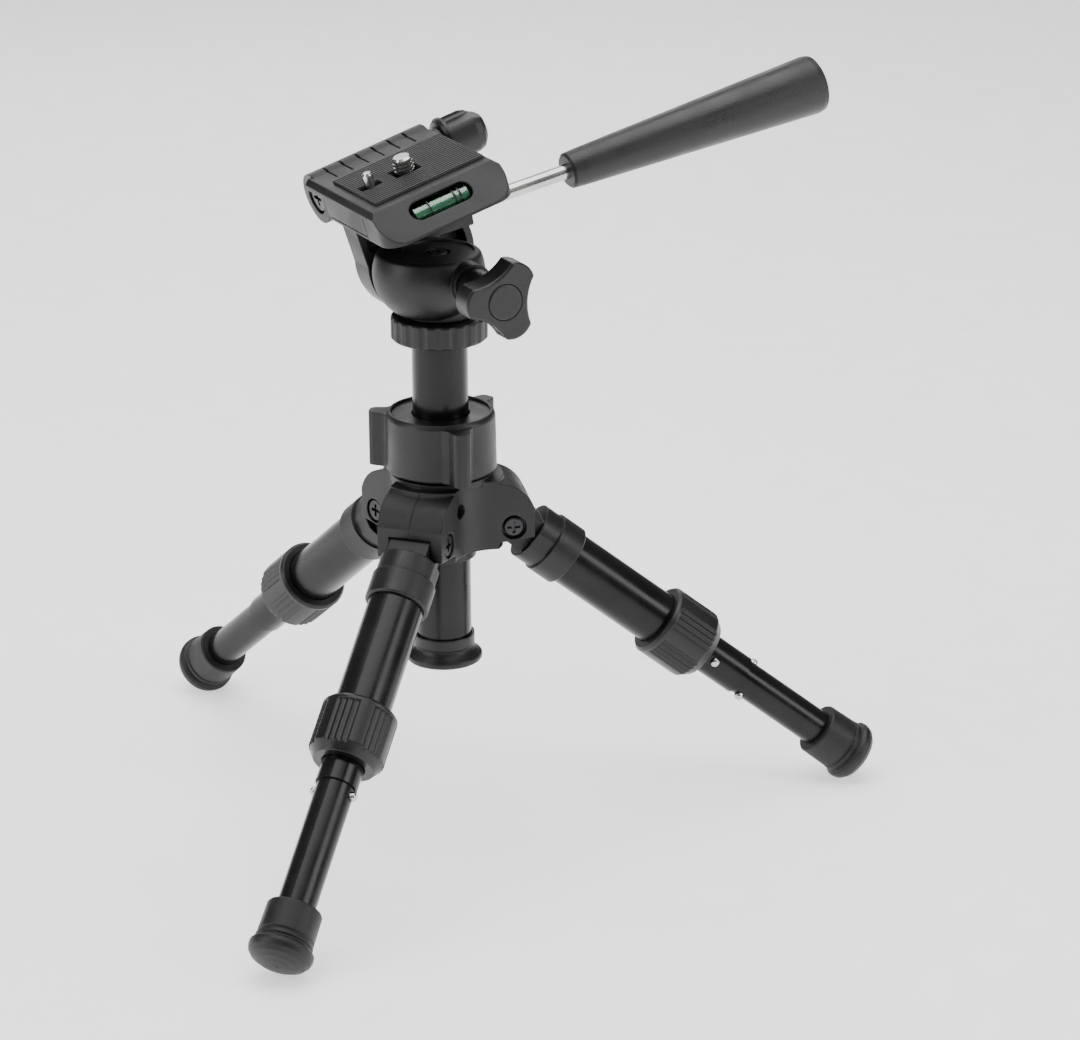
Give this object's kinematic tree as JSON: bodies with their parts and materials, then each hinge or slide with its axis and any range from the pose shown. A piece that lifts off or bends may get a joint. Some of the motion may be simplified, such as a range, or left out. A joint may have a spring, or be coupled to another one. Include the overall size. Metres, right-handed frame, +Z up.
{
  "type": "tabletop camera tripod with pan and tilt head",
  "caption": "Small folding tabletop tripod with telescoping legs, a clamped centre column and a pan, tilt and side-flip head with a long handle, camera screw and bubble level.",
  "frame": {"origin": "centre of the overall footprint at the level of the feet's lowest points", "axes": "+Z up along the centre column; the front leg points to -Y and slightly to -X, and the pan handle points to +X and +Y"},
  "size_m": [0.2402, 0.2512, 0.2323],
  "materials": {
    "shell_plastic": "fine-grained black moulded plastic",
    "gloss_black": "satin black moulded plastic",
    "tube_black": "black anodised tube with a soft sheen",
    "rubber_black": "matte black rubber",
    "pad_rubber": "ribbed dark rubber",
    "steel": "bright steel",
    "dark_steel": "blackened steel screw",
    "rod_steel": "bright plated steel rod",
    "nylon": "natural nylon",
    "vial_glass": "clear tube",
    "vial_fluid": "yellow-green level fluid",
    "mark_black": "black printed rings"
  },
  "bodies": {
    "hub": {"hub_shell_right": "shell_plastic", "hub_shell_left": "shell_plastic", "hub_shell_screws": "dark_steel", "leg_hinge_barrels": "dark_steel", "leg_hinge_screws": "dark_steel", "column_wedge_ring": "nylon"},
    "front_leg": {"front_leg_casting": "shell_plastic", "front_leg_upper_tube": "tube_black", "front_leg_bushing": "nylon"},
    "front_grip": {"front_leg_twist_grip": "gloss_black"},
    "front_stub": {"front_leg_stub_tube": "tube_black"},
    "front_lower": {"front_leg_lower_tube": "tube_black", "front_leg_rubber_foot": "rubber_black", "front_leg_snap_clip": "steel"},
    "right_leg": {"right_leg_casting": "shell_plastic", "right_leg_upper_tube": "tube_black", "right_leg_bushing": "nylon"},
    "right_grip": {"right_leg_twist_grip": "gloss_black"},
    "right_stub": {"right_leg_stub_tube": "tube_black"},
    "right_lower": {"right_leg_lower_tube": "tube_black", "right_leg_rubber_foot": "rubber_black", "right_leg_snap_clip": "steel"},
    "left_leg": {"left_leg_casting": "shell_plastic", "left_leg_upper_tube": "tube_black", "left_leg_bushing": "nylon"},
    "left_grip": {"left_leg_twist_grip": "gloss_black"},
    "left_stub": {"left_leg_stub_tube": "tube_black"},
    "left_lower": {"left_leg_lower_tube": "tube_black", "left_leg_rubber_foot": "rubber_black", "left_leg_snap_clip": "steel"},
    "column": {"column_tube": "tube_black", "column_end_cap": "shell_plastic", "pan_spindle": "dark_steel", "pan_screw": "dark_steel", "pan_screw_washer": "steel"},
    "collar": {"column_lock_collar": "shell_plastic"},
    "pan_ring": {"pan_lock_ring": "shell_plastic"},
    "pan_base": {"ball_housing": "shell_plastic", "tilt_pivot_bolt": "dark_steel"},
    "star_knob": {"tilt_star_knob": "gloss_black", "star_knob_cap": "gloss_black", "star_knob_stud": "dark_steel"},
    "tilt_arm": {"tilt_arm": "shell_plastic", "flip_hinge_bolt": "dark_steel"},
    "platform": {"camera_platform": "shell_plastic", "platform_pad": "pad_rubber", "level_vial": "vial_glass", "level_fluid": "vial_fluid", "level_mark_rings": "mark_black"},
    "flip_knob": {"flip_lock_knob": "gloss_black"},
    "carrier": {"screw_carrier": "dark_steel", "video_pin_spring": "steel"},
    "camera_screw": {"camera_screw": "steel"},
    "video_pin": {"video_pin": "steel"},
    "handle": {"handle_rod": "rod_steel", "handle_grip": "gloss_black"}
  },
  "joints": [
    {"name": "front_leg_fold", "type": "hinge", "parent": "hub", "child": "front_leg", "pos_m": [-0.03058, -0.00917, 0.10063], "axis": [0.9379, -0.3469, 0], "range_deg": [0, 51.5]},
    {"name": "front_grip_twist", "type": "hinge", "parent": "front_leg", "child": "front_grip", "pos_m": [-0.03058, -0.00917, 0.10063], "axis": [-0.2715, -0.734, -0.6225], "range_deg": [0, 120]},
    {"name": "front_stub_slide", "type": "slide", "parent": "front_leg", "child": "front_stub", "axis": [0.2715, 0.734, 0.6225], "range_m": [0, 0.007], "deforming": ["front_leg_snap_clip"]},
    {"name": "front_lower_slide", "type": "slide", "parent": "front_stub", "child": "front_lower", "axis": [0.2715, 0.734, 0.6225], "range_m": [0, 0.042], "deforming": ["front_leg_snap_clip"]},
    {"name": "right_leg_fold", "type": "hinge", "parent": "hub", "child": "right_leg", "pos_m": [-0.00166, 0.01484, 0.10063], "axis": [-0.1685, 0.9857, 0], "range_deg": [0, 51.5]},
    {"name": "right_grip_twist", "type": "hinge", "parent": "right_leg", "child": "right_grip", "pos_m": [-0.00166, 0.01484, 0.10063], "axis": [0.7714, 0.1319, -0.6225], "range_deg": [0, 120]},
    {"name": "right_stub_slide", "type": "slide", "parent": "right_leg", "child": "right_stub", "axis": [-0.7714, -0.1319, 0.6225], "range_m": [0, 0.015], "deforming": ["right_leg_snap_clip"]},
    {"name": "right_lower_slide", "type": "slide", "parent": "right_stub", "child": "right_lower", "axis": [-0.7714, -0.1319, 0.6225], "range_m": [0, 0.034], "deforming": ["right_leg_snap_clip"]},
    {"name": "left_leg_fold", "type": "hinge", "parent": "hub", "child": "left_leg", "pos_m": [-0.03691, 0.02788, 0.10063], "axis": [-0.7694, -0.6388, 0], "range_deg": [0, 51.5]},
    {"name": "left_grip_twist", "type": "hinge", "parent": "left_leg", "child": "left_grip", "pos_m": [-0.03691, 0.02788, 0.10063], "axis": [-0.4999, 0.6021, -0.6225], "range_deg": [0, 120]},
    {"name": "left_stub_slide", "type": "slide", "parent": "left_leg", "child": "left_stub", "axis": [0.4999, -0.6021, 0.6225], "range_m": [0, 0.015], "deforming": ["left_leg_snap_clip"]},
    {"name": "left_lower_slide", "type": "slide", "parent": "left_stub", "child": "left_lower", "axis": [0.4999, -0.6021, 0.6225], "range_m": [0, 0.034], "deforming": ["left_leg_snap_clip"]},
    {"name": "column_slide", "type": "slide", "parent": "hub", "child": "column", "axis": [0, 0, 1], "range_m": [-0.013, 0.018]},
    {"name": "collar_turn", "type": "hinge", "parent": "hub", "child": "collar", "pos_m": [-0.02305, 0.01118, 0.128], "axis": [0, 0, 1], "range_deg": [0, 60]},
    {"name": "pan_ring_turn", "type": "hinge", "parent": "column", "child": "pan_ring", "pos_m": [-0.02305, 0.01118, 0.1667], "axis": [0, 0, 1], "range_deg": [0, 90]},
    {"name": "head_pan", "type": "hinge", "parent": "column", "child": "pan_base", "pos_m": [-0.02305, 0.01118, 0.18], "axis": [0, 0, 1], "continuous": true},
    {"name": "star_knob_turn", "type": "hinge", "parent": "pan_base", "child": "star_knob", "pos_m": [-0.02128, 0.01212, 0.1851], "axis": [-0.4695, 0.8829, 0], "continuous": true},
    {"name": "head_tilt", "type": "hinge", "parent": "pan_base", "child": "tilt_arm", "pos_m": [-0.02128, 0.01212, 0.1851], "axis": [0.4695, -0.8829, 0], "range_deg": [-45, 70]},
    {"name": "side_flip", "type": "hinge", "parent": "tilt_arm", "child": "platform", "pos_m": [-0.04156, 0.03418, 0.21175], "axis": [-0.8496, -0.4517, -0.2723], "range_deg": [0, 90]},
    {"name": "flip_knob_turn", "type": "hinge", "parent": "tilt_arm", "child": "flip_knob", "pos_m": [-0.04156, 0.03418, 0.21175], "axis": [0.8496, 0.4517, 0.2723], "continuous": true},
    {"name": "carrier_slide", "type": "slide", "parent": "platform", "child": "carrier", "axis": [0.8496, 0.4517, 0.2723], "range_m": [-0.0012, 0.0012]},
    {"name": "camera_screw_turn", "type": "hinge", "parent": "carrier", "child": "camera_screw", "pos_m": [-0.03139, 0.00675, 0.21304], "axis": [-0.2404, -0.1278, 0.9622], "continuous": true},
    {"name": "video_pin_press", "type": "slide", "parent": "carrier", "child": "video_pin", "axis": [0.2404, 0.1278, -0.9622], "range_m": [0, 0.0035], "stiffness_N_per_m": 250, "springref_m": -0.001, "deforming": ["video_pin_spring"]},
    {"name": "handle_turn", "type": "hinge", "parent": "tilt_arm", "child": "handle", "pos_m": [-0.01726, 0.03691, 0.19751], "axis": [0.8676, 0.4613, 0.1857], "range_deg": [-120, 120]}
  ]
}
